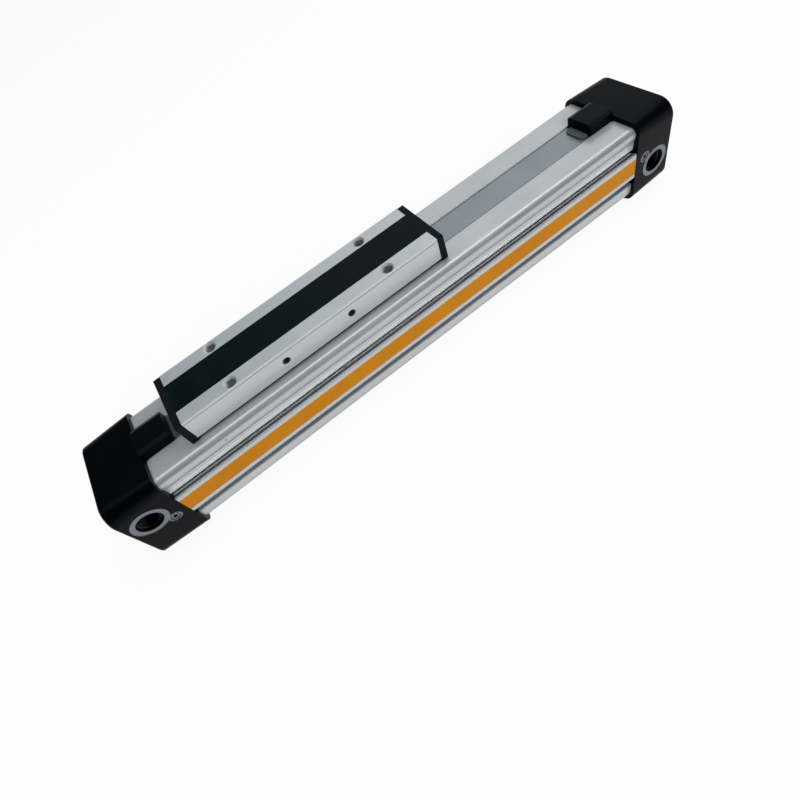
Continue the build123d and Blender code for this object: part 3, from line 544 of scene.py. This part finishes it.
# Screw threads
def thread(name, body, slot, finish, mouth, out, radius, depths, pitch, height):
    """Helical ridge on a hole's wall. mouth is the hole's centre on the face, out its way out."""
    steps = 40
    fade_steps = 0.4 * steps
    foot_half, crest_half = 0.48, 0.07  # of the pitch
    sunk_in_wall = 0.04
    least_height = 0.02  # of the full height, at both ends
    depth_from, depth_to = depths
    out = Vector(out)
    side = Vector((1, 0, 0))
    other = out.cross(side)
    turns = (depth_to - depth_from - pitch) / pitch
    total = int(turns * steps)
    foot = radius + sunk_in_wall
    points, faces = [], []
    for k in range(total + 1):
        angle = 2 * pi * k / steps
        middle = depth_from + pitch * (0.5 + k / steps)
        fade = min(1.0, k / fade_steps, (total - k) / fade_steps)
        crest = radius - height * max(fade, least_height)
        for along, r in ((-foot_half, foot), (-crest_half, crest), (crest_half, crest), (foot_half, foot)):
            spot = Vector(mouth) - out * (middle + along * pitch)
            points.append(spot + (side * cos(angle) + other * sin(angle)) * r)
        if k:
            a, b = 4 * (k - 1), 4 * k
            faces += [(a + j, a + (j + 1) % 4, b + (j + 1) % 4, b + j) for j in range(4)]
    faces += [(3, 2, 1, 0), tuple(4 * total + j for j in range(4))]
    piece = new_piece(name, points, faces, slot, finish)
    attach(piece, body)


for side, sign in (("left", -1), ("right", 1)):
    mouth = (sign * PORT_X, FRONT_Y, PORT_Z[side])
    thread(f"port_thread_{side}", "barrel", "cap_black", thread_black, mouth, (0, -1, 0),
           PORT_RADIUS, depths=(1.1, 13.6), pitch=1.337, height=0.62)
number = 0
for dx in (-TOP_HOLE_X, TOP_HOLE_X):
    for y in (-TOP_HOLE_Y, TOP_HOLE_Y):
        number += 1
        mouth = (REST_X + dx, y, TOP_Z)
        thread(f"top_thread_{number}", "carriage", "carrier_aluminium", thread_grey, mouth, (0, 0, 1),
               TOP_HOLE_RADIUS, depths=(0.9, 9.6), pitch=1.0, height=0.32)
number = 0
for dx in (-SIDE_HOLE_X, SIDE_HOLE_X):
    for out_y in (-1, 1):
        number += 1
        mouth = (REST_X + dx, out_y * SIDE_HOLE_Y, SIDE_HOLE_Z)
        thread(f"side_thread_{number}", "carriage", "carrier_aluminium", thread_painted_shade, mouth, (0, out_y, 0),
               SIDE_HOLE_RADIUS, depths=(0.25, 6.6), pitch=0.8, height=0.26)


# Floor, surroundings, lamps and camera
def make_floor():
    """White floor that mostly shines by itself where the camera or a mirroring surface sees it."""
    half, height = 4.0, -0.0002
    glow_share = 0.91
    corners = [(-half, -half, height), (half, -half, height), (half, half, height), (-half, half, height)]
    mesh = bpy.data.meshes.new("floor")
    mesh.from_pydata(corners, [], [(0, 1, 2, 3)])
    graph = Finish("floor")
    cloud = graph.noise(3.0, detail=2.0)
    white = graph.shade(rgb(0.93, 0.93, 0.93), graph.span(cloud, 0.3, 0.7, 0.99, 1.01))
    graph.done(Base_Color=white, Roughness=0.9, Specular_IOR_Level=0.1)
    glow = graph.node("ShaderNodeEmission", {"Color": rgb(1, 1, 1), "Strength": 1.0})
    rays = graph.node("ShaderNodeLightPath").outputs
    seen = graph.math("MAXIMUM", rays["Is Camera Ray"], rays["Is Glossy Ray"])
    seen = graph.math("MAXIMUM", seen, rays["Is Transmission Ray"])
    share = graph.times(seen, glow_share)
    mixed = graph.node("ShaderNodeMixShader", {0: share, 1: graph.shader.outputs[0], 2: glow.outputs[0]})
    graph.feed(graph.tree.nodes["Material Output"].inputs["Surface"], mixed.outputs[0])
    mesh.materials.append(graph.material)
    floor = bpy.data.objects.new("floor", mesh)
    bpy.context.scene.collection.objects.link(floor)


def make_world():
    """Soft surroundings: dim in front, pale behind and overhead, and paler towards +X.

    The camera sees them white. Mirroring surfaces see them white near the horizon.
    """
    horizon = (0.06, 0.16)
    world = bpy.data.worlds.new("studio")
    bpy.context.scene.world = world
    world.use_nodes = True
    graph = Graph(world.node_tree)
    way = graph.node("ShaderNodeTexCoord").outputs["Generated"]
    x, y, z = graph.node("ShaderNodeSeparateXYZ", {0: way}).outputs
    along = graph.ramp(x, [(-0.34, (0.08, 0.095, 0.105)), (-0.20, (0.17, 0.20, 0.22)),
                           (0.05, (0.56, 0.60, 0.62)), (0.30, (0.86, 0.89, 0.91)),
                           (0.75, (0.82, 0.86, 0.89))])
    front = graph.ramp(y, [(-0.35, (0.10, 0.11, 0.12)), (-0.12, (0.13, 0.14, 0.15)),
                           (0.10, (0.80, 0.82, 0.84)), (0.30, (1.0, 1.0, 1.0))])
    both = graph.node("ShaderNodeMix", {0: 1.0, 6: along, 7: front}, data_type="RGBA", blend_type="MULTIPLY")
    rays = graph.node("ShaderNodeLightPath").outputs
    mirrored = graph.math("MAXIMUM", rays["Is Glossy Ray"], rays["Is Transmission Ray"])
    mirrored = graph.times(mirrored, graph.span(z, *horizon, 1.0, 0.0))
    seen = graph.math("MAXIMUM", rays["Is Camera Ray"], mirrored)
    background = graph.tree.nodes["Background"]
    graph.feed(background.inputs["Color"], graph.mix(seen, both.outputs[2], rgb(1, 1, 1)))
    graph.feed(background.inputs["Strength"], 1.0)


def lamp(name, place, target, size, power, colour, mirrored=True):
    """Rectangular lamp. One that isn't mirrored lights surfaces but makes no highlight."""
    light = bpy.data.lights.new(name, "AREA")
    light.shape = "RECTANGLE"
    light.size, light.size_y = size
    light.energy = power
    light.color = colour
    thing = bpy.data.objects.new(name, light)
    thing.location = place
    way = Vector(target) - Vector(place)
    thing.rotation_euler = way.to_track_quat("-Z", "Y").to_euler()
    thing.visible_glossy = mirrored
    bpy.context.scene.collection.objects.link(thing)


def make_camera():
    """Camera of the photograph, solved from the corners of the caps and the carriage."""
    data = bpy.data.cameras.new("camera")
    data.lens = 24.0573
    data.sensor_width = 36.0
    data.shift_x = 0.030387
    data.shift_y = -0.082714
    data.clip_start = 0.01
    camera = bpy.data.objects.new("camera", data)
    camera.location = (-0.0640507, -0.1868767, 0.2441896)
    camera.rotation_euler = tuple(radians(a) for a in (36.49854, 16.62244, -34.00821))
    bpy.context.scene.collection.objects.link(camera)
    bpy.context.scene.camera = camera


make_floor()
make_world()
lamp("overhead", place=(0.3, 0.10, 1.5), target=(0.3, 0.0, 0.03), size=(2.3, 0.7), power=10.5,
     colour=(1.0, 0.995, 0.98))
lamp("front", place=(0.1, -1.2, 0.8), target=(0.0, 0.0, 0.03), size=(0.9, 0.9), power=14.0,
     colour=(0.97, 0.98, 1.0), mirrored=False)
make_camera()
bpy.context.scene.view_settings.view_transform = "Standard"
